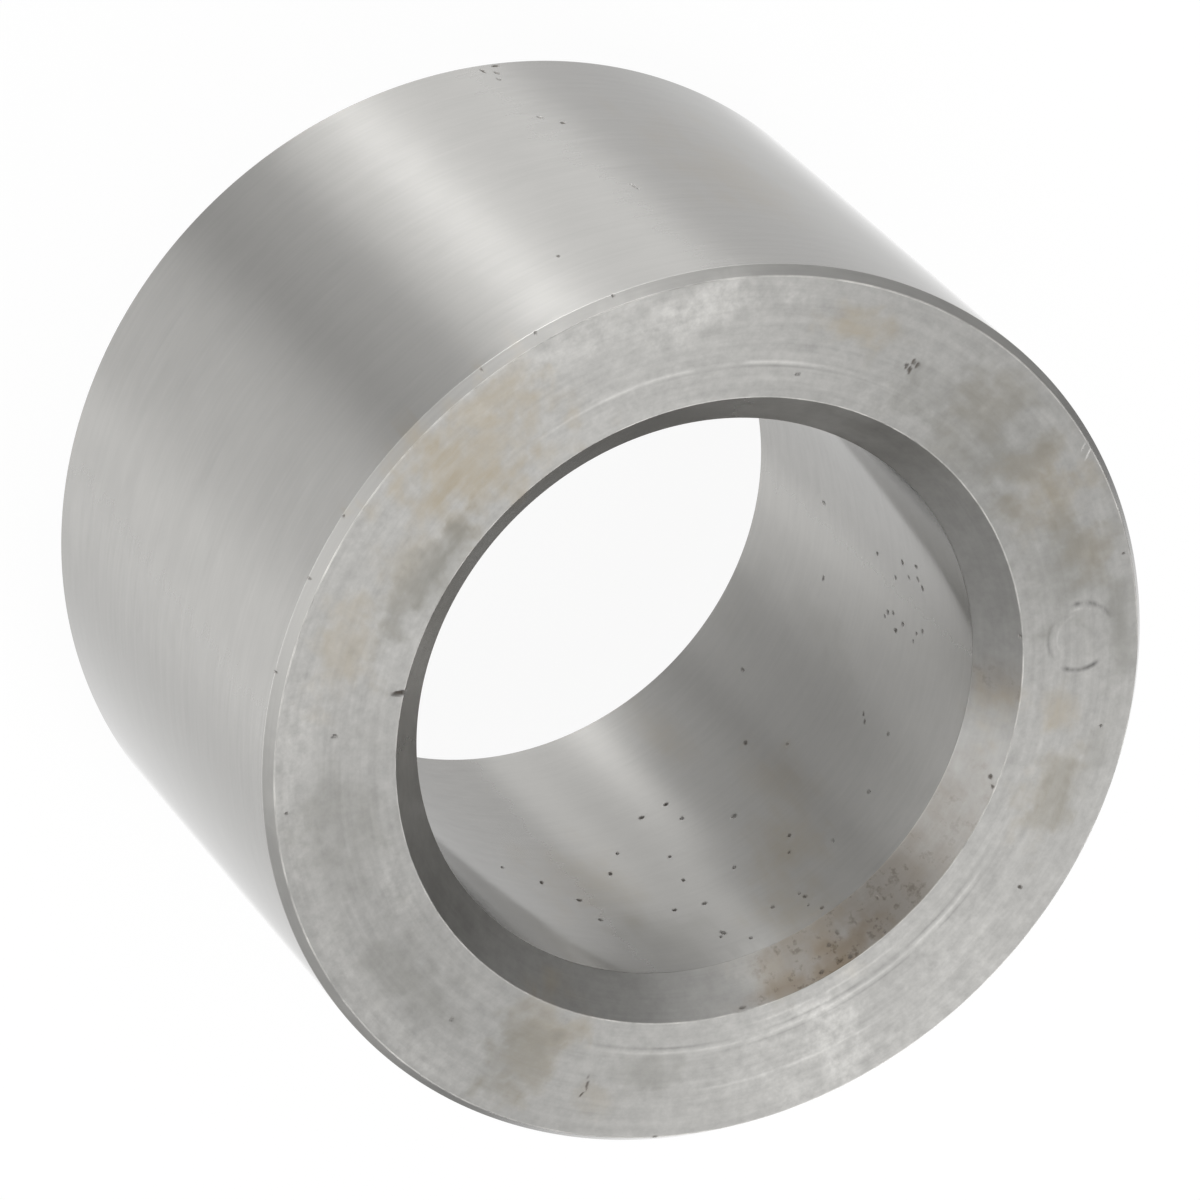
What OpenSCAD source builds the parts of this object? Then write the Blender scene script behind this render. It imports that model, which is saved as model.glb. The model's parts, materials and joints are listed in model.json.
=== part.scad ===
// Plain steel bushing, turned from the bar in one piece.
// The outside is ground to press into a housing, and the bore is ground to run on a pin.
// Both ends are alike: a faced ring, a cone that leads the pin into the bore,
// and a narrow slope round the outer edge that starts the bushing in its housing.
// Sizes are in millimetres. The bushing stands on one end, with its axis on Z.

/* [Outside] */
// Diameter of the ground outside
outside_d = 63; // [50:0.5:100]
// Length over the two end faces
length = 42; // [12:0.5:120]

/* [Bore] */
// Diameter of the ground bore
bore_d = 40; // [10:0.5:52]

/* [Lead-in of the bore] */
// How much wider the mouth is than the bore, on each side
lead_in_depth = 2.5; // [0.4:0.1:8]
// How far the cone reaches in from the end face
lead_in_length = 2.7; // [0.4:0.1:18]

/* [Slope of the outer edge] */
// How far the slope cuts in from the outside, on each side
edge_depth = 0.55; // [0.1:0.05:6]
// How far the slope reaches along the outside from the end face
edge_length = 0.85; // [0.1:0.05:18]

/* [Hidden] */

// Flats in one turn of a previewed circle
turn_facets = 240;

outside_r = outside_d / 2;
bore_r = bore_d / 2;

// The flat ring of each end face lies between the mouth and the sloped edge
mouth_r = bore_r + lead_in_depth;
face_r = outside_r - edge_depth;

// Half of the lengthwise cut, to the right of the axis, with both ends alike
module half_section() {
    bottom_half = [
        [bore_r, lead_in_length],
        [mouth_r, 0],
        [face_r, 0],
        [outside_r, edge_length]
    ];
    top_half = [for (i = [3:-1:0]) [bottom_half[i].x, length - bottom_half[i].y]];
    polygon(concat(bottom_half, top_half));
}

module bushing() {
    color("silver")
        rotate_extrude($fn = turn_facets)
            half_section();
}

bushing();
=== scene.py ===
# %% [markdown]
# # Dressing a ground steel bushing
#
# The part is one thick steel ring. It was turned from the bar, its two ends were faced on the
# lathe, and its outside and its bore were ground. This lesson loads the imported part, lays a
# fine mesh of the same ring over it, and gives each surface the finish that its machining left.
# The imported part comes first, because it fixes the place and the size of all that follows.

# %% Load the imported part
import json
import math
import bmesh
import bpy
import numpy as np
from mathutils import Matrix, Vector, noise


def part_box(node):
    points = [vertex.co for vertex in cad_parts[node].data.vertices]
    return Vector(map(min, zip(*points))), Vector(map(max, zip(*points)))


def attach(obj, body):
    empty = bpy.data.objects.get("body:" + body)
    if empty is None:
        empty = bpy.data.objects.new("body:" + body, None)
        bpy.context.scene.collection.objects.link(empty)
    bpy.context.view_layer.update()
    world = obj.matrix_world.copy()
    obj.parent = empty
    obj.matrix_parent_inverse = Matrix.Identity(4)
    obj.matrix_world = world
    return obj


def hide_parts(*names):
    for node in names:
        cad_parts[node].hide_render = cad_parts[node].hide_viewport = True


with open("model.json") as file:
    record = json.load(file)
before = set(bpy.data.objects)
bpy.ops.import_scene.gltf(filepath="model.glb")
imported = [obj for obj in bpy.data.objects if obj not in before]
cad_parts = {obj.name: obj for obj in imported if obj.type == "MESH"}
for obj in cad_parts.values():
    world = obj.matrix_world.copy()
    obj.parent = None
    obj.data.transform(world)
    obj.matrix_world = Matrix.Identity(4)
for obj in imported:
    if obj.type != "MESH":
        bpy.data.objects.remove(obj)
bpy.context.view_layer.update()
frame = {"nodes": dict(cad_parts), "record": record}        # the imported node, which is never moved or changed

print("nodes of the part:", sorted(frame["nodes"]))

# %% [markdown]
# ## Sizes
#
# A box of the node gives the outside and the length, and the part's record gives the bore,
# so the mesh can't drift from the part. Only the cone that leads into the bore and the slope
# round the outer edge are written again, as the part's source has them. Blender works in metres.

# %% Sizes of the ring
MM = 0.001
low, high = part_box("bushing")
outside_r = (high[0] - low[0]) / 2
length = high[2] - low[2]
mounts = {mount["name"]: mount for mount in frame["record"]["mounts"]}
bore_r = mounts["bore"]["dims"]["r_mm"] * MM
lead_in_depth, lead_in_length = 2.5 * MM, 2.7 * MM
slope_depth, slope_length = 0.55 * MM, 0.85 * MM
mouth_r = bore_r + lead_in_depth
face_r = outside_r - slope_depth
print("outside %.1f, bore %.1f, length %.1f mm" % (outside_r * 2 / MM, bore_r * 2 / MM, length / MM))

# %% [markdown]
# ## The half section
#
# A turned part is its half section swept round the axis, so the section is where its shape is
# decided. The photo shows a thin bright line wherever two surfaces meet: the edge was broken
# by a touch of a file. A bevel modifier could round the edges of a finished ring, but here each
# corner of the section gets its own small arc, which also gives the exact surface direction
# at every point. The walk round the section starts in the middle of the lower end, where the
# seam is out of sight, and goes out, up, in and down the bore. Its points lie close together
# on the end, which carries the stains, and far apart on the plain outside.

# %% Corners and stretches of the section
edge_break = 0.13 * MM
middle_r = (mouth_r + face_r) / 2
corners = [
    (face_r, 0.0), (outside_r, slope_length),
    (outside_r, length - slope_length), (face_r, length),
    (mouth_r, length), (bore_r, length - lead_in_length),
    (bore_r, lead_in_length), (mouth_r, 0.0),
]
stretches = ["end", "slope", "outside", "slope", "end", "cone", "bore", "cone", "end"]
corner_surfaces = ["rim", "edge", "edge", "rim", "rim", "edge", "edge", "rim"]
row_step = {
    "end": 0.28 * MM, "slope": 0.4 * MM, "outside": 3.0 * MM, "cone": 0.6 * MM, "bore": 2.0 * MM,
}
hidden_row_step = 1.0 * MM
arc_steps = [3, 3, 3, 3, 3, 7, 3, 3]    # finest where the bore begins, as it mirrors the light
print("corners of the section:", len(corners))


def rounded_section():
    """Points round the section, the way each one faces, and the surface that follows each."""
    seam = np.array((middle_r, 0.0))
    walk = [seam] + [np.array(corner) for corner in corners] + [seam]
    points, facing, surface = [], [], []
    start = walk[0]
    for i, kind in enumerate(stretches):
        ahead = (walk[i + 1] - walk[i]) / np.linalg.norm(walk[i + 1] - walk[i])
        outward = np.array((ahead[1], -ahead[0]))
        end, last = walk[i + 1], i == len(stretches) - 1
        if not last:
            beyond = (walk[i + 2] - walk[i + 1]) / np.linalg.norm(walk[i + 2] - walk[i + 1])
            next_outward = np.array((beyond[1], -beyond[0]))
            turn = math.acos(float(np.clip(ahead @ beyond, -1, 1)))
            cut = edge_break * math.tan(turn / 2)
            end = walk[i + 1] - ahead * cut
        step = hidden_row_step if walk[i + 1][1] == 0 or last else row_step[kind]
        steps = max(1, round(np.linalg.norm(end - start) / step))
        for k in range(steps):
            points.append(start + (end - start) * k / steps)
            facing.append(outward)
            surface.append(kind)
        if last:
            points.append(end)
            facing.append(outward)
            break
        centre = end - outward * edge_break
        for k in range(arc_steps[i]):
            share = k / arc_steps[i]
            way = outward * math.sin(turn * (1 - share)) + next_outward * math.sin(turn * share)
            way /= np.linalg.norm(way)
            points.append(centre + way * edge_break)
            facing.append(way)
            surface.append(corner_surfaces[i])
        start = walk[i + 1] + beyond * cut
    return np.array(points), np.array(facing), surface


section, section_facing, section_surface = rounded_section()
section_along = np.concatenate([[0], np.cumsum(np.linalg.norm(np.diff(section, axis=0), axis=1))])
print("section: %d points, %.1f mm round" % (len(section), section_along[-1] / MM))

# %% [markdown]
# ## Where a mark is
#
# Marks are easiest to place as a machinist would point at them: a surface, the degrees round
# the axis, and how deep below the upper end, or on the end itself how far from the axis.
# This helper turns that into the distance along the section, so that a mark may run over
# an edge from one surface to the next. All the places below were read off the photo.

# %% Finding a place on the section
def along_at(surface, place):
    """Distance along the section, in metres, of a place given in millimetres."""
    if surface == "end":
        target = np.array((place * MM, length))
    elif surface == "outside":
        target = np.array((outside_r, length - place * MM))
    elif surface == "cone":
        inward = place * MM * lead_in_depth / lead_in_length
        target = np.array((mouth_r - inward, length - place * MM))
    else:
        target = np.array((bore_r, length - place * MM))
    best, found = 1.0, 0.0
    for k in range(len(section) - 1):
        step = section[k + 1] - section[k]
        share = float(np.clip((target - section[k]) @ step / (step @ step), 0, 1))
        gap = float(np.linalg.norm(section[k] + step * share - target))
        if gap < best:
            best, found = gap, section_along[k] + share * np.linalg.norm(step)
    return found


print("the mouth is %.1f mm along the section" % (along_at("cone", 0) / MM))

# %% [markdown]
# ## Pits, nicks and scratches
#
# Small corrosion pits are scattered over the ground bore, a few of them in clusters, and there
# is a nick at the mouth and some damage at the rim. They could be a bump texture, but real
# hollows keep their shape from every side, so they are pressed into the mesh, and dirt in them
# is painted by the same list. Each row gives degrees, place, half width round the axis and half
# length across it in millimetres, the turn of the mark in degrees, and how much dirt it holds.
# Less than no dirt means bright bare metal, as in the fresh scratches near the rim. A pit looks
# wider in a photo than it is, because its walls are dark too, so all pits shrink by one factor.

# %% Marks on each surface
# Each row: degrees, place, half width, half length, turn, dirt
bore_pits = [
    (78.5, 3.6, 0.2, 0.26, 0, 0.9), (77, 4.8, 0.12, 0.16, 0, 0.5), (77.6, 5.9, 0.16, 0.34, 12, 1),
    (77.2, 6.6, 0.14, 0.16, 0, 0.5), (63.8, 4.6, 0.16, 0.16, 0, 0.4), (60.2, 6.5, 0.2, 0.5, 18, 0.6),
    (59.3, 6.1, 0.14, 0.2, 0, 0.4), (71.5, 6.9, 0.22, 0.22, 0, 0.5), (40.2, 11.5, 0.26, 0.24, 0, 0.5),
    (55.7, 11.4, 0.2, 0.24, 0, 1), (61.6, 11, 0.26, 0.22, 0, 0.7), (81.5, 11.4, 0.18, 0.22, 0, 0.5),
    (83.8, 13, 0.18, 0.28, 0, 0.8), (71.4, 13.6, 0.18, 0.26, 0, 0.4), (39.5, 14.8, 0.28, 0.28, -15, 1),
    (61.7, 14.9, 0.16, 0.26, 0, 0.8), (34.6, 17.6, 0.18, 0.44, -22, 1),
    (50.4, 18.5, 0.16, 0.4, -14, 0.9), (63.1, 18.5, 0.18, 0.24, 0, 0.5),
    (78.6, 19.1, 0.34, 0.36, 0, 0.4), (55, 21.2, 0.16, 0.34, -18, 0.4), (70.6, 22.4, 0.2, 0.26, 0, 0.3),
    (70.2, 25, 0.22, 0.26, 0, 1), (64.5, 24.8, 0.3, 0.26, 0, 0.7), (90.5, 25.2, 0.24, 0.4, 0, 0.6),
    (89.2, 9, 0.18, 0.3, 0, 0.3), (101, 9.6, 0.2, 0.34, 0, 0.4), (112.2, 11.3, 0.16, 0.26, 0, 0.4),
    (110.6, 14.7, 0.11, 0.3, -40, 0.9), (111.6, 15.3, 0.1, 0.26, -40, 0.8),
    (134.6, 10.8, 0.22, 0.26, 0, 0.39), (131.2, 12, 0.12, 0.16, 0, 0.28),
    (133.2, 11.7, 0.12, 0.2, 0, 0.28), (132.6, 13.9, 0.18, 0.34, 20, 0.39),
    (130.2, 14.8, 0.16, 0.4, 10, 0.55), (133, 15.6, 0.16, 0.26, 0, 0.33),
    (132.2, 16.4, 0.18, 0.3, 0, 0.33), (130.9, 16.8, 0.12, 0.2, 0, 0.22),
    (143.6, 11, 0.22, 0.28, -20, 0.5), (144.7, 11.7, 0.2, 0.28, -20, 0.5),
    (147.3, 11.8, 0.16, 0.36, 15, 0.22), (145.3, 14.3, 0.26, 0.26, 30, 0.5),
    (143.2, 13.3, 0.14, 0.24, 0, 0.22), (140.5, 15.6, 0.2, 0.22, 0, 0.44),
    (142, 18.7, 0.16, 0.34, 15, 0.22), (127.3, 26.9, 0.24, 0.22, 0, 0.39),
    (142.2, 28, 0.2, 0.46, 10, 0.17), (100.6, 31.6, 0.2, 0.4, 0, 0.4), (96.2, 21.2, 0.18, 0.26, 0, 0.3),
    (28, 19.4, 0.18, 0.36, -20, 0.3),
]
cone_pits = [
    (117.8, 0.45, 0.2, 0.22, 10, 1), (116.4, 0.15, 0.16, 0.16, 0, 0.7), (75.2, 1.3, 0.22, 0.2, 0, 0.5),
    (77.2, 0.2, 0.26, 0.2, 0, 0.9), (71.5, 0.3, 0.26, 0.18, 0, 0.5), (81.6, 1.45, 0.16, 0.22, 0, 0.5),
    (87.6, 1.7, 0.16, 0.26, 0, 0.6), (84.5, 0.15, 0.2, 0.14, 0, 0.7), (77.8, 1.6, 0.2, 0.3, 0, 0.5),
    (56, 0.2, 0.35, 0.14, 0, 0.5), (144.8, 0.15, 0.16, 0.14, 0, 0.6),
]
end_pits = [
    (198.4, 26.45, 0.16, 0.42, 14, 1), (199.2, 26.6, 0.14, 0.34, 10, 0.8),
    (197.7, 26.95, 0.16, 0.34, -10, 0.9), (198.5, 27.05, 0.16, 0.34, 12, 0.9),
    (103.4, 28.15, 0.17, 0.26, 0, 0.9), (128.6, 28.95, 0.14, 0.16, 0, 0.4),
    (5.5, 26.7, 0.24, 0.26, 20, 0.15), (313.5, 26.9, 0.2, 0.34, 0, 0.25),
    (323.6, 30.2, 0.14, 0.2, 0, 0.4), (152.8, 30.5, 0.12, 0.18, 0, 0.5),
    (42.3, 30.95, 0.3, 0.16, 0, 0.7), (216, 24.2, 0.26, 0.2, 0, 0.15),
]
outside_pits = [
    (228.9, 40.7, 0.4, 0.22, 0, 1), (231, 40.1, 0.12, 0.6, 8, 0.8), (229.6, 39.4, 0.16, 0.5, 20, 0.6),
    (230.2, 38.2, 0.12, 0.4, 10, 0.4), (228.4, 28.9, 0.22, 0.3, 20, 0.8),
    (230.3, 30.4, 0.18, 0.5, 25, 0.3), (243.8, 8.7, 0.16, 0.26, 0, 0.6),
    (228.3, 16.2, 0.1, 0.8, 8, 0.25), (293.1, 0.75, 0.1, 0.34, 0, 0.45), (305.4, 0.8, 0.12, 0.3, 0, 0.35),
    (284.6, 0.7, 0.16, 0.18, 0, 0.35), (260.8, 0.6, 0.14, 0.26, 10, 0.3), (253, 0.7, 0.12, 0.22, 0, 0.3),
    (242.6, 0.7, 0.14, 0.22, 10, 0.3),
]
nicks = [
    (306.4, 22.75, 0.15, 0.6, 10, 1),
]
scratches = [
    (168.2, 30.6, 0.06, 0.5, 35, -0.9), (169.4, 30.5, 0.05, 0.34, 35, -0.7),
    (30.6, 27.2, 0.05, 0.55, 10, 0.7), (30.3, 28.05, 0.06, 0.22, -25, 0.9),
]

pit_depth, nick_depth, scratch_depth = 0.08 * MM, 0.22 * MM, 0.03 * MM
pit_size = 0.66
mark_lists = [
    ("bore", bore_pits, pit_depth, pit_size), ("cone", cone_pits, pit_depth, pit_size),
    ("end", end_pits, pit_depth, pit_size), ("outside", outside_pits, pit_depth, pit_size),
    ("end", nicks, nick_depth, 1.0), ("end", scratches, scratch_depth, 1.0),
]
marks = []
for surface, rows, sink, size in mark_lists:
    for degrees, place, half_round, half_across, turn, dirt in rows:
        marks.append((
            math.radians(degrees), along_at(surface, place), half_round * size * MM,
            half_across * size * MM, math.radians(turn), sink, dirt))
print(len(marks), "marks")

# %% [markdown]
# ## The form of a mark
#
# A pit isn't a cone or a half ball. Its floor is almost flat, its wall is steep, and its lip
# is soft. A bell curve of the squared distance has that form, and it needs no border of its
# own, so marks may overlap and simply add up. The dirt follows a wider bell of the same kind
# and so reaches just over the lip. The marks could be cut out with booleans instead, but each
# cut would leave sliver faces, and a bell can be worked out at any point of the surface.

# %% Depth and dirt of the marks
farthest = 2 * MM
wall_steepness = 2.0


def turned_away(angle, other):
    """Angle from other to angle, from minus half a turn to half a turn."""
    return (angle - other + math.pi) % (2 * math.pi) - math.pi


def sink_and_dirt(angle, along, radius):
    """How far the surface lies below its plain form, and how dirty it is, at each point."""
    depth, dirt = np.zeros_like(angle), np.zeros_like(angle)
    for mark_angle, mark_along, half_round, half_across, turn, sink, dark in marks:
        u = turned_away(angle, mark_angle) * radius
        v = along - mark_along
        near = (np.abs(u) < farthest) & (np.abs(v) < farthest)
        p = u[near] * math.cos(turn) + v[near] * math.sin(turn)
        q = v[near] * math.cos(turn) - u[near] * math.sin(turn)
        spread = (p / half_round) ** 2 + (q / half_across) ** 2
        depth[near] += sink * np.exp(-wall_steepness * spread ** 2)
        dirt[near] += dark * np.exp(-spread ** 2)
    return depth, dirt


long_sides = [max(mark[2], mark[3]) * 2 / MM for mark in marks]
print("marks from %.2f to %.2f mm long" % (min(long_sides), max(long_sides)))

# %% [markdown]
# ## The mesh of the ring
#
# The section is swept round the axis in even columns, as the lathe swept its tool. A screw
# modifier could turn it too. Here the sweep is written out, so that each point keeps its
# distance along the section and each face the surface that it belongs to, and both are needed
# further on. The columns are narrow enough for the outside to look round from close by.

# %% Sweep the section
columns = 640


def swept_ring():
    """The section swept once round the axis, and the surface that each face belongs to."""
    rows = len(section) - 1
    angles = np.arange(columns) * 2 * math.pi / columns
    verts = [(r * math.cos(a), r * math.sin(a), z) for a in angles for r, z in section[:rows]]
    faces, kinds = [], []
    for i in range(columns):
        j = (i + 1) % columns
        for k in range(rows):
            m = (k + 1) % rows
            faces.append((i * rows + k, j * rows + k, j * rows + m, i * rows + m))
            kinds.append(section_surface[k])
    mesh = bpy.data.meshes.new("bushing_ring")
    mesh.from_pydata(verts, [], faces)
    layer = mesh.attributes.new("along", "FLOAT", "POINT")
    layer.data.foreach_set("value", np.tile(section_along[:rows], columns))
    return mesh, kinds


mesh, face_kinds = swept_ring()
surfaces = ["outside", "bore", "end", "cone", "slope", "edge", "rim"]
mesh.polygons.foreach_set("material_index", [surfaces.index(kind) for kind in face_kinds])
print("even ring: %d faces" % len(mesh.polygons))

# %% [markdown]
# ## Finer faces round the marks
#
# A pit is far smaller than a face of the even ring, and a ring that is fine all over would take
# millions of faces. So the faces round each mark are cut in four, a few times over, and only
# there. Long faces need a wide strip at first, or their halves come out as slivers, and the
# strip narrows with each cut. Cutting puts a new point on the chord between two old ones, and
# halves the distance along the section that each of them carries. The next step works out the
# true place of every point anew from that distance and its angle.

# %% Cut the faces round each mark
cuts = 6
finest = 0.09 * MM
worth_cutting = 1.5 * finest
past_lip, margin, first_strip = 1.6, 0.25 * MM, 3.2 * MM
mark_places = [(mark[0], mark[1], past_lip * max(mark[2], mark[3])) for mark in marks]


def near_marks(angle, along, radius, strip):
    """Which points lie by a mark, or within a strip to either side of it along the section."""
    near = np.zeros(len(angle), bool)
    for mark_angle, mark_along, reach in mark_places:
        u = turned_away(angle, mark_angle) * radius
        v = along - mark_along
        near |= (np.abs(u) < reach + margin) & (np.abs(v) < reach + strip)
    return near


def cut_round_marks(mesh):
    """Halves the edges round the marks, again and again, and leaves only small faces there."""
    bm = bmesh.new()
    bm.from_mesh(mesh)
    layer = bm.verts.layers.float["along"]
    for cut in range(cuts):
        bm.verts.ensure_lookup_table()
        xyz = np.array([v.co for v in bm.verts])
        along = np.array([v[layer] for v in bm.verts])
        angle = np.arctan2(xyz[:, 1], xyz[:, 0])
        near = near_marks(angle, along, np.hypot(xyz[:, 0], xyz[:, 1]), first_strip * 0.5 ** cut)
        edges = [
            e for e in bm.edges
            if near[e.verts[0].index] and near[e.verts[1].index] and e.calc_length() > worth_cutting]
        if edges:
            bmesh.ops.subdivide_edges(bm, edges=edges, cuts=1, use_grid_fill=True)
    bmesh.ops.triangulate(bm, faces=[f for f in bm.faces if len(f.verts) > 4])
    bm.to_mesh(mesh)
    bm.free()


cut_round_marks(mesh)
print("after cutting: %d points, %d faces" % (len(mesh.vertices), len(mesh.polygons)))

# %% [markdown]
# ## Place, sink and shade every point
#
# With the distance along the section and the angle, each point goes to its exact place, and
# then down by the depth of the marks there. Smooth shading that Blender works out from faces
# would smear over the narrow edge breaks, so the true direction of the surface is given:
# the way the section faces, tipped by the slope of the marks.

# %% Exact places and surface directions
count = len(mesh.vertices)
xyz = np.empty(count * 3)
mesh.vertices.foreach_get("co", xyz)
xyz = xyz.reshape(-1, 3)
along = np.empty(count, np.float32)
mesh.attributes["along"].data.foreach_get("value", along)
angle = np.arctan2(xyz[:, 1], xyz[:, 0])
along = along.astype(float)


def on_section(values, along):
    """A value of the section, read at any distance along it."""
    return np.interp(along, section_along, values)


radius, height = on_section(section[:, 0], along), on_section(section[:, 1], along)
face_out, face_up = on_section(section_facing[:, 0], along), on_section(section_facing[:, 1], along)
depth, dirt = sink_and_dirt(angle, along, radius)
tiny = 0.004 * MM
slope_round = (sink_and_dirt(angle + tiny / radius, along, radius)[0] - depth) / tiny
slope_along = (sink_and_dirt(angle, along + tiny, radius)[0] - depth) / tiny
facing = np.stack([
    face_out - slope_along * face_up, slope_round, face_up + slope_along * face_out], axis=1)
facing /= np.linalg.norm(facing, axis=1, keepdims=True)
ring_r, ring_z = radius - face_out * depth, height - face_up * depth
cos, sin = np.cos(angle), np.sin(angle)
xyz = np.stack([ring_r * cos, ring_r * sin, ring_z], axis=1)
normals = np.stack([
    facing[:, 0] * cos - facing[:, 1] * sin,
    facing[:, 0] * sin + facing[:, 1] * cos,
    facing[:, 2],
], axis=1)
mesh.vertices.foreach_set("co", xyz.ravel())
mesh.update()
mesh.polygons.foreach_set("use_smooth", [True] * len(mesh.polygons))
mesh.normals_split_custom_set_from_vertices(normals.tolist())
print("deepest mark %.2f mm" % (depth.max() / MM))

# %% [markdown]
# ## Stains and smudges
#
# The ends carry a bushing's history: tan patches of dried oil, grey smears, and on the cone a
# brown film with dark specks. Lighter places are partly cleaner steel and partly a painted
# highlight: the bright radial streaks in which the turned end reflects a lamp. They have soft,
# broken borders, so each is an ellipse whose border is pushed in and out by noise. They are kept
# as named layers of the mesh, from 0 to about 1, which the materials read. That ties them to the
# surface, and a texture painted over an unwrapped ring would do no more. Each row gives degrees,
# place, half width round the axis, half length across it, and strength. The film stops at the
# mouth, where the facing cut went through it, so its layer is kept to the cone.

# %% Layers of the mesh
stains = {
    "oil": [
        ("end", 269, 27, 5.6, 4, 1), ("end", 262, 29.5, 3, 1.6, 0.8), ("end", 285, 25.5, 4.5, 2, 0.5),
        ("end", 300, 27.5, 3.5, 2.2, 0.6), ("end", 208, 28, 2.8, 1.3, 0.9),
        ("end", 20, 25.5, 2.6, 3.8, 0.8), ("end", 117, 26.6, 3, 2, 0.6),
        ("end", 131, 25.8, 1.8, 1.2, 0.7), ("end", 168, 27, 3.4, 2.6, 0.85),
        ("end", 33, 28.4, 1.6, 1.2, 0.4), ("end", 155, 28, 2.2, 1.6, 0.7),
        ("end", 184, 27, 2.6, 2.6, 0.45), ("bore", 75, 6, 2.6, 5, 0.5), ("bore", 82, 12, 2.4, 4, 0.6),
        ("bore", 90, 19, 2, 4, 0.5), ("bore", 43, 17, 3.6, 6, 0.3), ("bore", 80, 32, 1.2, 5, 0.3),
        ("outside", 213, 20, 4.5, 9, 0.35), ("cone", 131, 1.2, 2, 1.6, 0.6),
        ("cone", 64, 0.9, 1.2, 1.6, 0.5),
    ],
    "rust": [
        ("cone", 87, 1.35, 9.2, 5, 0.5), ("cone", 76, 1.2, 5.4, 4.4, 0.6),
        ("cone", 72, 0.2, 5, 1.4, 1), ("cone", 79, 0.8, 4.2, 1.8, 0.9), ("cone", 94, 1.1, 3, 1.6, 0.55),
        ("cone", 135, 1.2, 1.8, 2.4, 0.3),
    ],
    # Lighter places: partly cleaner steel, partly a painted highlight where the turned end reflects a lamp in
    # radial streaks
    "clean_and_painted_highlight": [
        ("end", 68.5, 27, 2.4, 5.5, 1.1), ("end", 63, 27, 5, 5, 0.4), ("end", 62, 30, 4, 1.2, 0.5),
        ("end", 232, 29, 4.4, 1.8, 1), ("end", 90, 27, 5, 4, 0.35), ("end", 195, 24.2, 4, 1.6, 0.4),
        ("end", 345, 30, 5, 1.2, 0.5), ("end", 340, 24.2, 4, 1.2, 0.5), ("end", 10, 30, 5, 1, 0.4),
        ("end", 84, 29.8, 9, 1.6, 0.4),
        ("end", 252, 29.8, 8, 1.6, 0.5), ("end", 320, 30, 8, 1.4, 0.6), ("end", 0, 30, 7, 1.3, 0.5),
        ("cone", 61, 1.9, 2, 1.8, 0.9),
    ],
    "smudge": [
        ("end", 286, 24.2, 4.8, 1.5, 0.75), ("end", 292, 24.8, 3, 1.6, 0.6),
        ("end", 181, 26, 7, 3.6, 0.48), ("end", 154, 26.4, 4.2, 3.2, 0.5),
        ("end", 142, 29.6, 4, 1, 0.5), ("end", 117, 27, 2.4, 1.8, 0.5),
        ("end", 327, 26.6, 4.5, 3, 0.35), ("end", 355, 26.6, 5, 2.2, 0.35),
        ("end", 18, 26.6, 2.6, 3.2, 0.5), ("end", 40, 26.2, 3.2, 1.3, 0.4),
        ("end", 195, 24.4, 2, 1, 0.4), ("end", 124, 29.2, 3, 0.7, 0.3), ("bore", 118, 24, 1.6, 6, 0.15),
        ("bore", 113, 36, 3, 3, 0.12), ("bore", 48, 8, 3, 3, 0.2),
    ],
}
border_size = 2.2 * MM
border_push, film_push = 0.85, 0.4
border_end, border_width = 1.5, 1.4
noise_fall, noise_gap, noise_layers = 0.6, 2.1, 4
noise_start = Vector((3.0, 0, 0))


def broken_border(position):
    """Noise that pushes a border in and out, the same on every run."""
    place = Vector(position) / border_size + noise_start
    return noise.fractal(place, noise_fall, noise_gap, noise_layers)


uneven = np.array([broken_border(position) for position in xyz])
layers = {"dirt": np.clip(dirt, 0, 1), "bare": np.clip(-dirt, 0, 1)}
for kind, rows in stains.items():
    amount = np.zeros(count)
    push = film_push if kind == "rust" else border_push
    for surface, degrees, place, half_round, half_across, strength in rows:
        u = turned_away(angle, math.radians(degrees)) * radius / (half_round * MM)
        v = (along - along_at(surface, place)) / (half_across * MM)
        reach = np.sqrt(u * u + v * v) + push * uneven
        soft = np.clip((border_end - reach) / border_width, 0, 1)
        amount = np.maximum(amount, strength * soft * soft * (3 - 2 * soft))
    layers[kind] = amount
on_cone = (radius < mouth_r + 0.02 * MM) & (height > length - lead_in_length)
layers["rust"] = np.where(on_cone, layers["rust"], 0)
for name, values in layers.items():
    layer = mesh.attributes.new(name, "FLOAT", "POINT")
    layer.data.foreach_set("value", values.astype(np.float32))
    print("layer %s: mean %.3f" % (name, values.mean()))

# %% [markdown]
# ## Machined steel
#
# A grinding wheel and a lathe tool both leave fine lines round the axis. Across such lines light
# spreads widely, and along them hardly at all, so a round part shows long soft bands along its
# axis. That is what an anisotropic surface is for: one spread across the lines and another
# along them. Both are chosen here, and the shader's roughness and anisotropy follow from them.
# A rough metal in Blender keeps its spread at every angle, but ground steel turns almost to a
# mirror at a low one. So the roughness falls there, driven by how far the surface faces away.

# %% Helpers for node trees
def put(tree, kind, links=None, **settings):
    """Adds a node. Links gives values or other nodes' outputs for its sockets."""
    made = tree.nodes.new("ShaderNode" + kind)
    for name, value in settings.items():
        setattr(made, name, value)
    for socket, value in (links or {}).items():
        if isinstance(value, bpy.types.NodeSocket):
            tree.links.new(value, made.inputs[socket])
        else:
            made.inputs[socket].default_value = value
    return made


def calc(tree, operation, a, b=0.0, c=0.0):
    """One step of arithmetic on numbers."""
    return put(tree, "Math", {0: a, 1: b, 2: c}, operation=operation).outputs[0]


def vector_calc(tree, operation, a, b=(0, 0, 0), out="Vector"):
    """One step of arithmetic on places or directions."""
    return put(tree, "VectorMath", {0: a, 1: b}, operation=operation).outputs[out]


def ramp(tree, value, start, end, at_start, at_end):
    """A straight change from at_start to at_end while the value goes from start to end."""
    return put(tree, "MapRange", {0: value, 1: start, 2: end, 3: at_start, 4: at_end}).outputs[0]


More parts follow.
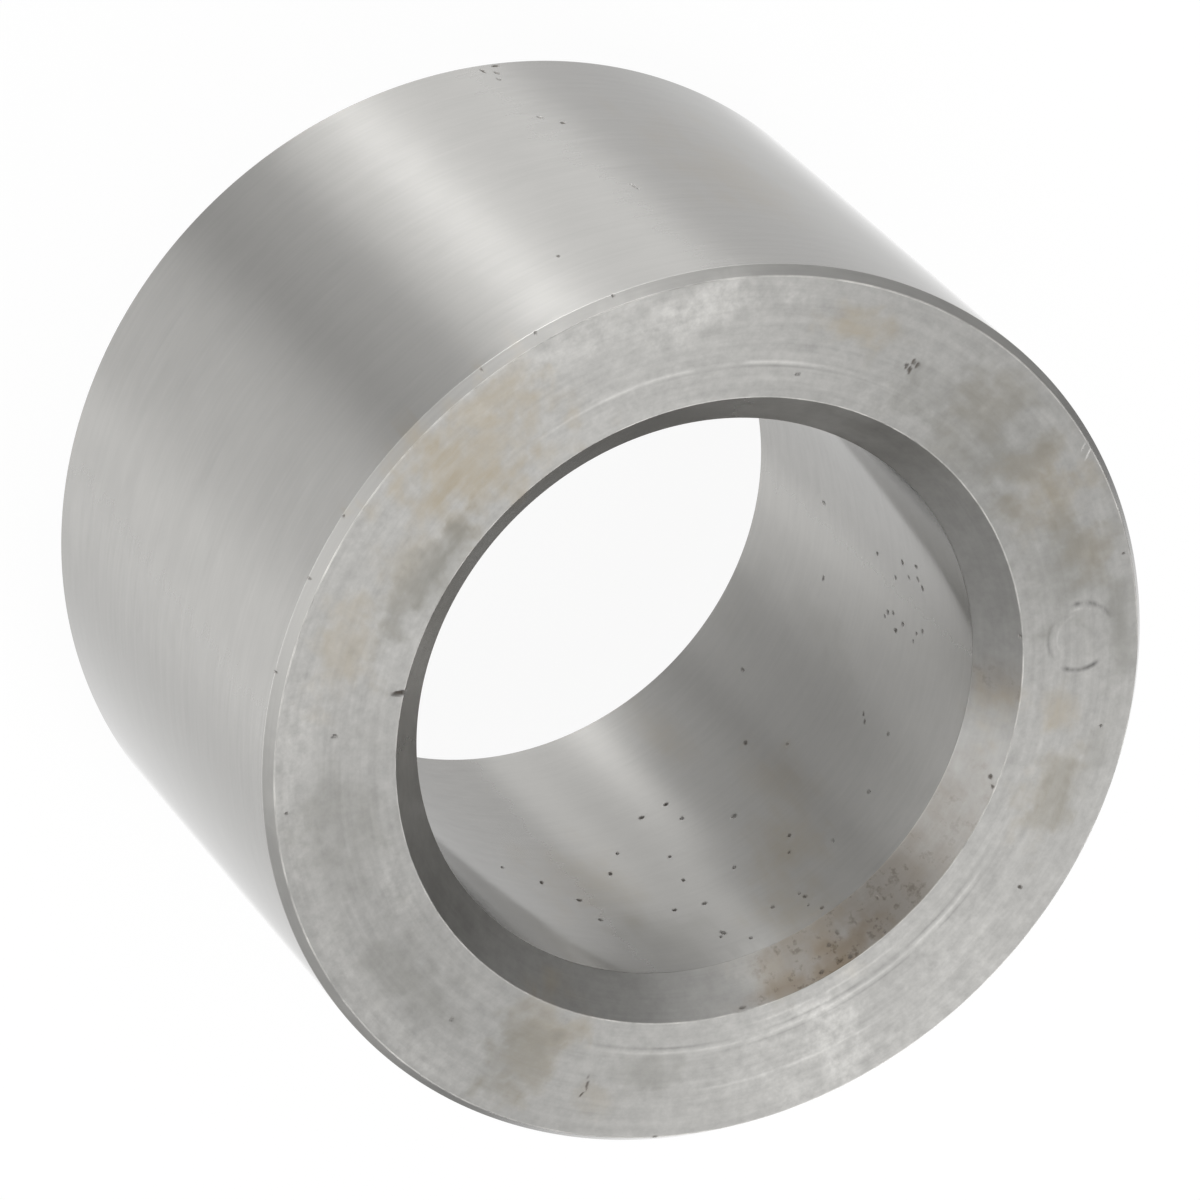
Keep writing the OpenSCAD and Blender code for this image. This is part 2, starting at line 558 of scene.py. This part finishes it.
def blend_colour(tree, share, a, b, how="MIX"):
    """Colour a with a share of colour b over it."""
    return put(tree, "Mix", {0: share, 6: a, 7: b}, data_type="RGBA", blend_type=how).outputs[2]


# %% [markdown]
# ## Lines and clouds
#
# Two noises give each surface its life. The lines are the tool marks: a noise drawn out round
# the axis and as fine as the marks across it. The clouds are the patches in which steel takes
# the light unevenly, only a little drawn out. Both run along the section, through the layer
# that holds its distance, so they follow the cone and the slope as the tool did.

# %% Noise that runs as the tool ran
line_turns, line_detail = 2.5, 2.0
cloud_height, cloud_detail, cloud_roughness = 1.2 * MM, 4.0, 0.65
noise_low, noise_high = 0.3, 0.7     # nearly all of a noise lies between these


def tool_noise(tree, way, along, turns, height, detail, roughness=0.5):
    """Noise that is drawn out round the axis, with patches of the given height across it."""
    turned = vector_calc(tree, "MULTIPLY", way, (turns, turns, turns))
    rise = put(tree, "CombineXYZ", {2: calc(tree, "MULTIPLY", along, 1 / height)}).outputs[0]
    place = vector_calc(tree, "ADD", turned, rise)
    links = {"Vector": place, "Scale": 1.0, "Detail": detail, "Roughness": roughness}
    return put(tree, "TexNoise", links).outputs["Fac"]


print("tool marks: %.0f noise cells in a turn" % (line_turns * 2 * math.pi))

# %% [markdown]
# ## Arcs on the faced end
#
# The facing tool left a few arcs that stand out from the rest, bright and dark side by side,
# and something round once stood on the end and left a broken ring. They are far too shallow to
# show in the mesh, so they only change the colour: the tool arcs are partly burnish and tear of
# the steel and partly painted highlight and painted shade, the lit and the shaded side of each
# shallow ridge. A texture of rings would be even all round, while these fade out at both ends and
# are worn away in places, so each arc has its own row with the angle at its middle, and the
# clouds break it up.

# %% Arcs
axis = (0, 0)
mark_r, mark_degrees = 26.7, 142.5
round_mark = (
    mark_r * math.cos(math.radians(mark_degrees)), mark_r * math.sin(math.radians(mark_degrees)))
# the tool arcs carry painted highlight and painted shade of shallow ridges, as well as burnish and tear
end_arcs_and_painted_ridges = [
    # centre, radius, middle and reach of the arc in degrees, half width, brighter or darker by
    (axis, 24.35, 67, 40, 0.16, -0.20), (axis, 24.70, 67, 42, 0.18, 0.19),
    (axis, 25.05, 78, 30, 0.14, -0.14), (axis, 27.70, 62, 16, 0.20, 0.20),
    (axis, 23.60, 70, 20, 0.16, 0.16), (axis, 24.98, 234, 30, 0.18, 0.22),
    (axis, 24.70, 218, 30, 0.14, -0.14),
    (round_mark, 2.45, 52, 38, 0.26, -0.45), (round_mark, 2.45, 208, 46, 0.26, -0.45),
    (round_mark, 2.35, 322, 40, 0.24, -0.22), (round_mark, 1.70, 300, 60, 0.16, 0.16),
    (round_mark, 2.05, 225, 30, 0.16, 0.18),
]
full_share = 0.6                     # this share of an arc's reach has its full strength
wear_start, wear_end = 0.38, 0.58    # where the clouds wear the arcs away, and where they don't
worn_arc, whole_arc = 0.25, 1.4


def ring_lines(tree, level, rows):
    """Fine arcs, bright and dark, partly painted highlight and shade, summed, each fading at sides and ends."""
    total = 0.0
    for centre, radius, middle, reach, half_width, strength in rows:
        arm = vector_calc(tree, "SUBTRACT", level, (centre[0] * MM, centre[1] * MM, 0))
        far = vector_calc(tree, "LENGTH", arm, out="Value")
        off = calc(tree, "ABSOLUTE", calc(tree, "SUBTRACT", far, radius * MM))
        line = ramp(tree, off, half_width * MM, 0.0, 0.0, strength)
        toward = (math.cos(math.radians(middle)), math.sin(math.radians(middle)), 0)
        way = vector_calc(tree, "NORMALIZE", arm)
        dot = vector_calc(tree, "DOT_PRODUCT", way, toward, out="Value")
        ends = math.cos(math.radians(reach)), math.cos(math.radians(reach * full_share))
        inside = ramp(tree, dot, *ends, 0.0, 1.0)
        total = calc(tree, "MULTIPLY_ADD", line, inside, total)
    return total


print(len(end_arcs_and_painted_ridges), "arcs on the end")

# %% [markdown]
# ## Colour of the steel
#
# Steel is a light grey with a touch of warmth. Clouds, tool marks and, on the end and the cone,
# a fine grain make it lighter and darker by a few hundredths. The lighter places, partly cleaner
# steel and partly a painted highlight, also get more grain as painted glints, and the arcs on the
# end add painted highlight and shade. The stains are then laid over it one after another, as they
# came to lie on the real part: oil, smears, the film with its specks, the dirt in the marks, and
# last the bare scratches. The clouds thin out the oil and the smears as well, or they would look
# like paint.

# %% Colours
ground_steel = (0.447, 0.441, 0.426, 1)
dried_oil = (0.425, 0.38, 0.305, 1)
grey_smear = (0.31, 0.305, 0.28, 1)
brown_film = (0.235, 0.195, 0.15, 1)
film_speck = (0.10, 0.08, 0.06, 1)
pit_dirt = (0.15, 0.13, 0.11, 1)
bare_scratch = (0.85, 0.84, 0.82, 1)
grain_size, grain_detail, grain_roughness = 0.9 * MM, 3.0, 0.7
# How much lighter the lighter places are, partly as a painted highlight, and how much more grain they get as
# painted glints
clean_and_highlight_shine, clean_and_highlight_glints = 0.2, 1.2
patch_low, patch_high = 0.35, 0.65
oil_cover, thin_oil, thick_oil = 0.85, 0.6, 1.2
thin_smear, thick_smear = 0.7, 1.15
speck_start, speck_end, speck_cover = 0.54, 0.66, 0.9


def steel_shade(tree, layer, lines, clouds, fine, tone, cloud, streak, grain):
    """How light the bare steel is at each point, where 1 is its plain colour, painted highlight included."""
    shade = ramp(tree, clouds, noise_low, noise_high, tone * (1 - cloud), tone * (1 + cloud))
    # lighter on cleaner steel, and as a painted highlight where the end reflects a lamp
    shade = calc(tree, "MULTIPLY_ADD", layer["clean_and_painted_highlight"], clean_and_highlight_shine, shade)
    shade = calc(tree, "ADD", shade, ramp(tree, lines, noise_low, noise_high, -streak, streak))
    if grain:
        glints = ramp(tree, fine, noise_low, noise_high, -grain, grain)
        # more grain in the lighter places, as painted glints in the painted highlight
        more = calc(tree, "MULTIPLY_ADD", layer["clean_and_painted_highlight"], clean_and_highlight_glints, 1.0)
        shade = calc(tree, "MULTIPLY_ADD", glints, more, shade)
    return shade


def stained(tree, layer, shade, clouds, specks):
    """The colour of the steel with everything that lies on it."""
    grey = put(tree, "CombineColor", {channel: shade for channel in range(3)}).outputs[0]
    colour = blend_colour(tree, 1.0, ground_steel, grey, "MULTIPLY")
    patchy = ramp(tree, clouds, patch_low, patch_high, thin_oil, thick_oil)
    patchy = calc(tree, "MULTIPLY", patchy, oil_cover)
    smeared = ramp(tree, clouds, patch_low, patch_high, thin_smear, thick_smear)
    covers = [
        (calc(tree, "MULTIPLY", layer["oil"], patchy), dried_oil),
        (calc(tree, "MULTIPLY", layer["smudge"], smeared), grey_smear),
        (layer["rust"], brown_film),
        (calc(tree, "MULTIPLY", layer["rust"], specks), film_speck),
        (layer["dirt"], pit_dirt),
        (layer["bare"], bare_scratch),
    ]
    for share, over in covers:
        colour = blend_colour(tree, share, colour, over)
    return colour


print("colours laid over the steel: oil, smears, film, specks, dirt, bare metal")

# %% [markdown]
# ## Gloss of the steel
#
# A finish is a small set of numbers: how widely light spreads across and along the tool marks,
# how wide and how deep the marks are, and how far the clouds, the streaks and the grain go.
# Dirt is no metal and has no gloss, so it takes both away. The tint at a low angle dulls the
# end and the bore, whose dry film of oil keeps them from flashing white there.

# %% A material for one machined surface
MICRON = 0.001 * MM
blender_aniso = 0.9      # the shader's full anisotropy narrows one spread to a tenth of the other
quarter_turn = 0.25      # turns the wide spread from round the axis to along it
uneven_gloss = 0.06
smear_roughness, dirt_roughness, dirt_metal = 0.06, 0.4, -0.9


def machined_steel(name, across, around, line_width, line_depth, cloud, streak=0.02, tone=1.0,
                   grain=0.0, low_angle=1.0, mirror=(0.58, 0.84, 0.2), arcs=(), cloud_turns=9.0):
    """Steel whose light spreads by across over the tool marks and by around along them."""
    material = bpy.data.materials.new(name)
    material.use_nodes = True
    tree = material.node_tree
    shader = tree.nodes["Principled BSDF"]
    layer = {key: put(tree, "Attribute", attribute_name=key).outputs["Fac"]
             for key in ("along", "dirt", "bare", "oil", "rust", "clean_and_painted_highlight", "smudge")}
    place = put(tree, "TexCoord").outputs["Object"]
    level = vector_calc(tree, "MULTIPLY", place, (1, 1, 0))
    way = vector_calc(tree, "NORMALIZE", level)
    lines = tool_noise(tree, way, layer["along"], line_turns, line_width * MM, line_detail)
    clouds = tool_noise(
        tree, way, layer["along"], cloud_turns, cloud_height, cloud_detail, cloud_roughness)

    fine, specks = 0.0, 0.0
    if grain:
        links = {"Vector": place, "Scale": 1 / grain_size, "Detail": grain_detail,
                 "Roughness": grain_roughness}
        fine = put(tree, "TexNoise", links).outputs["Fac"]
        specks = ramp(tree, fine, speck_start, speck_end, 0.0, speck_cover)
    shade = steel_shade(tree, layer, lines, clouds, fine, tone, cloud, streak, grain)
    # arcs on the end: painted highlight and shade of the tool ridges, with their burnish and tear
    if arcs:
        worn = ramp(tree, clouds, wear_start, wear_end, worn_arc, whole_arc)
        shade = calc(tree, "MULTIPLY_ADD", ring_lines(tree, level, arcs), worn, shade)
    tree.links.new(stained(tree, layer, shade, clouds, specks), shader.inputs["Base Color"])

    even = (across * around) ** 0.25
    turned_from, turned_to, left_over = mirror
    facing_away = put(tree, "LayerWeight", {"Blend": 0.5}).outputs["Facing"]
    rough = ramp(tree, facing_away, turned_from, turned_to, even, even * left_over)
    rough = calc(tree, "MULTIPLY", rough, ramp(
        tree, clouds, noise_low, noise_high, 1 - uneven_gloss, 1 + uneven_gloss))
    rough = calc(tree, "MULTIPLY_ADD", layer["smudge"], smear_roughness, rough)
    rough = calc(tree, "MULTIPLY_ADD", layer["dirt"], dirt_roughness, rough)
    tree.links.new(rough, shader.inputs["Roughness"])
    metal = calc(tree, "MULTIPLY_ADD", layer["dirt"], dirt_metal, 1.0)
    tree.links.new(metal, shader.inputs["Metallic"])
    shader.inputs["Specular Tint"].default_value = (low_angle, low_angle, low_angle, 1)
    shader.inputs["Anisotropic"].default_value = (1 - around / across) / blender_aniso
    shader.inputs["Anisotropic Rotation"].default_value = quarter_turn
    tangent = put(tree, "Tangent", direction_type="RADIAL", axis="Z").outputs[0]
    tree.links.new(tangent, shader.inputs["Tangent"])
    links = {"Strength": 1.0, "Distance": line_depth * MICRON, "Height": lines}
    tree.links.new(put(tree, "Bump", links).outputs[0], shader.inputs["Normal"])
    print("%s: roughness %.2f, light spreads %.0f times wider across the marks" % (
        name, even, across / around))
    return material


# %% [markdown]
# ## Seven finishes for one ring
#
# The real ring met several tools. The outside and the bore were ground, which leaves very fine
# lines and long bands of light. The ends were faced on the lathe with a coarser feed, and they
# are dull and stained. The cone and the slope were turned. Every corner was broken with a file,
# and handling has worn the corners of the ends bright in places. One material with masks could
# hold all of this, but seven small ones are easier to read and to tune, and the section already
# says which face belongs to which. Line widths are in millimetres and depths in microns.

# %% The seven finishes
finishes = {
    "outside": machined_steel(
        "outside_ground_steel", across=0.35, around=0.032, line_width=0.25, line_depth=1.0,
        cloud=0.03),
    "bore": machined_steel(
        "bore_ground_steel", across=0.35, around=0.038, line_width=0.30, line_depth=1.5,
        cloud=0.04, tone=1.05, low_angle=0.82, mirror=(0.57, 0.75, 0.22)),
    "end": machined_steel(
        "end_faced_steel", across=0.50, around=0.13, line_width=0.45, line_depth=9.0,
        cloud=0.09, streak=0.055, grain=0.09, low_angle=0.6, mirror=(0.58, 0.84, 1.0),
        arcs=end_arcs_and_painted_ridges, cloud_turns=6.0),
    "cone": machined_steel(
        "cone_turned_steel", across=0.28, around=0.08, line_width=0.20, line_depth=3.0,
        cloud=0.06, tone=0.84, grain=0.05),
    "slope": machined_steel(
        "slope_turned_steel", across=0.45, around=0.22, line_width=0.20, line_depth=3.0,
        cloud=0.06, tone=0.91),
    "edge": machined_steel(
        "edge_filed_steel", across=0.12, around=0.10, line_width=0.15, line_depth=0.5,
        cloud=0.03),
    "rim": machined_steel(
        "rim_worn_steel", across=0.50, around=0.40, line_width=0.15, line_depth=1.0,
        cloud=0.3, streak=0.0, tone=1.4),
}
for surface in surfaces:
    mesh.materials.append(finishes[surface])

# %% [markdown]
# ## Put the ring in the frame
#
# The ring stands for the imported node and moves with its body. The node stays in the part for
# its weight and its collision, and only its looks are replaced.

# %% Register the ring
bushing = bpy.data.objects.new("bushing_ring", mesh)
bpy.context.scene.collection.objects.link(bushing)
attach(bushing, "root")
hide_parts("bushing")
print("triangles:", sum(len(f.vertices) - 2 for f in mesh.polygons))

# %% [markdown]
# ## Camera
#
# The photo was taken from far off with a long lens, from above the upper end, and its frame is
# rolled, so that the ring seems to lean. Six edges of the ring, measured in the photo as ellipses,
# give the distance, the tilt and the roll. Nothing else of the camera needs setting.

# %% Camera of the photo
photo_side = 1200
focal_pixels = 9124
camera_back, camera_up = 330.06 * MM, 506.08 * MM
camera_tilt, camera_roll = 32.10, 135.24
sensor_mm = 36

camera = bpy.data.objects.new("camera", bpy.data.cameras.new("camera"))
bpy.context.scene.collection.objects.link(camera)
camera.data.sensor_width = sensor_mm
camera.data.lens = focal_pixels / photo_side * sensor_mm
camera.data.clip_start = 0.01
tilt = Matrix.Rotation(math.radians(camera_tilt), 4, "X")
roll = Matrix.Rotation(math.radians(camera_roll), 4, "Z")
camera.matrix_world = Matrix.Translation((0, -camera_back, length + camera_up)) @ tilt @ roll
bpy.context.scene.camera = camera
print("lens %.1f mm" % camera.data.lens)

# %% [markdown]
# ## Floor
#
# The ring stands on a plain white table that is much larger than the view. The camera sees
# mostly its plain white, with a share of its lit surface, so that a faint shadow stays under
# the ring. Reflections pass through it, because in the photo the light reaches the steel from
# all round, from below as well.

# %% White table
table_half, shadow_share = 3.0, 0.1
lit_white, plain_white = 0.95, 1.03
floor_mesh = bpy.data.meshes.new("floor")
table_corners = [(x * table_half, y * table_half, 0) for x, y in ((-1, -1), (1, -1), (1, 1), (-1, 1))]
floor_mesh.from_pydata(table_corners, [], [(0, 1, 2, 3)])
floor = bpy.data.objects.new("floor", floor_mesh)
bpy.context.scene.collection.objects.link(floor)
white = bpy.data.materials.new("white_table")
white.use_nodes = True
tree = white.node_tree
tree.nodes.clear()
lit = put(tree, "BsdfDiffuse", {"Color": (lit_white, lit_white, lit_white, 1)}).outputs[0]
plain = put(tree, "Emission", {"Color": (1, 1, 1, 1), "Strength": plain_white}).outputs[0]
seen = put(tree, "LightPath").outputs["Is Camera Ray"]
share = calc(tree, "MULTIPLY", seen, 1 - shadow_share)
surface_out = put(tree, "MixShader", {0: share, 1: lit, 2: plain}).outputs[0]
put(tree, "OutputMaterial", {"Surface": surface_out})
floor_mesh.materials.append(white)
floor.visible_glossy = False
floor.visible_shadow = False
print("table: %.0f m wide" % (2 * table_half))

# %% [markdown]
# ## Light
#
# Steel has no colour to speak of: it shows what stands round it. The studio seems to have been
# a white tent with some brighter panels, and with darker gaps that show as the dark bands on
# the outside. Area lamps could stand for the panels, but polished steel would show
# their hard edges. So the tent is the world here, a plain white with soft-edged panels set by
# compass angle and height, and a panel below zero darkens. The bore, seen through its far
# mouth, shows only what lies well below the horizon, and the outside shows the rest, so the
# front light has a lower part of its own. The camera itself sees plain white.

# %% A white tent with soft panels
tent = 0.91
panels = [
    # compass angle, half width, height, half height, soft border, strength
    (88, 14, 50, 45, 12, 1.3),      # back light, from the horizon up
    (89, 12, -30, 55, 10, 0.45),    # and its glow on the table
    (49, 10, 5, 32, 12, -0.85),     # dark gap on its one side
    (44, 20, -38, 14, 12, -0.25),
    (130, 17, 8, 36, 12, -0.85),    # dark gap on its other side
    (143, 26, -66, 12, 10, -0.2),
    (173, 24, 12, 24, 14, -0.6),
    (10, 25, 20, 25, 14, -0.3),
    (244, 9, -3, 12, 5, 4.0),       # front light, left of the camera
    (237, 5, -25, 9, 4, 2.6),
    (227, 9, 0, 16, 8, 1.2),
    (304, 22, 8, 14, 10, 2.4),      # front light, right of the camera
    (326, 12, -20, 16, 8, 0.5),
    (280, 42, 62, 18, 14, -0.8),    # the room behind and over the camera
    (290, 22, -40, 14, 10, -0.4),
    (262, 18, -66, 22, 8, -0.3),
    (207, 8, -36, 12, 7, 1.3),      # white card low on the left
    (221, 8, -50, 12, 6, 0.9),
    (343, 11, -34, 12, 9, 0.8),     # white card low on the right
]
world = bpy.data.worlds.new("tent")
bpy.context.scene.world = world
world.use_nodes = True
world.cycles.sampling_method = "NONE"
tree = world.node_tree
tree.nodes.clear()
way = put(tree, "TexCoord").outputs["Generated"]
level = vector_calc(tree, "NORMALIZE", vector_calc(tree, "MULTIPLY", way, (1, 1, 0)))
rise = calc(tree, "ARCSINE", put(tree, "SeparateXYZ", {0: way}).outputs["Z"])


def soft_window(off, half, soft):
    """One inside the window, none outside it, and a soft border between."""
    links = {0: off, 1: math.radians(half + soft), 2: math.radians(half - soft), 3: 0.0, 4: 1.0}
    return put(tree, "MapRange", links, interpolation_type="SMOOTHSTEP").outputs[0]


light = tent
for compass, half_wide, height, half_high, soft, strength in panels:
    toward = (math.cos(math.radians(compass)), math.sin(math.radians(compass)), 0)
    dot = vector_calc(tree, "DOT_PRODUCT", level, toward, out="Value")
    aside = calc(tree, "ARCCOSINE", calc(tree, "MINIMUM", dot, 1.0))
    above = calc(tree, "ABSOLUTE", calc(tree, "SUBTRACT", rise, math.radians(height)))
    wide, high = soft_window(aside, half_wide, soft), soft_window(above, half_high, soft)
    light = calc(tree, "MULTIPLY_ADD", calc(tree, "MULTIPLY", wide, high), strength, light)
studio = put(tree, "Background", {"Color": (1, 1, 1, 1), "Strength": light}).outputs[0]
plain = put(tree, "Background", {"Color": (1, 1, 1, 1), "Strength": 1.0}).outputs[0]
seen = put(tree, "LightPath").outputs["Is Camera Ray"]
shown = put(tree, "MixShader", {0: seen, 1: studio, 2: plain}).outputs[0]
put(tree, "OutputWorld", {"Surface": shown})
print("tent: %.2f, with %d panels" % (tent, len(panels)))

# %% [markdown]
# ## Close
#
# The colours are shown as they are written, with no film look.

# %% Finish
bpy.context.scene.view_settings.view_transform = "Standard"
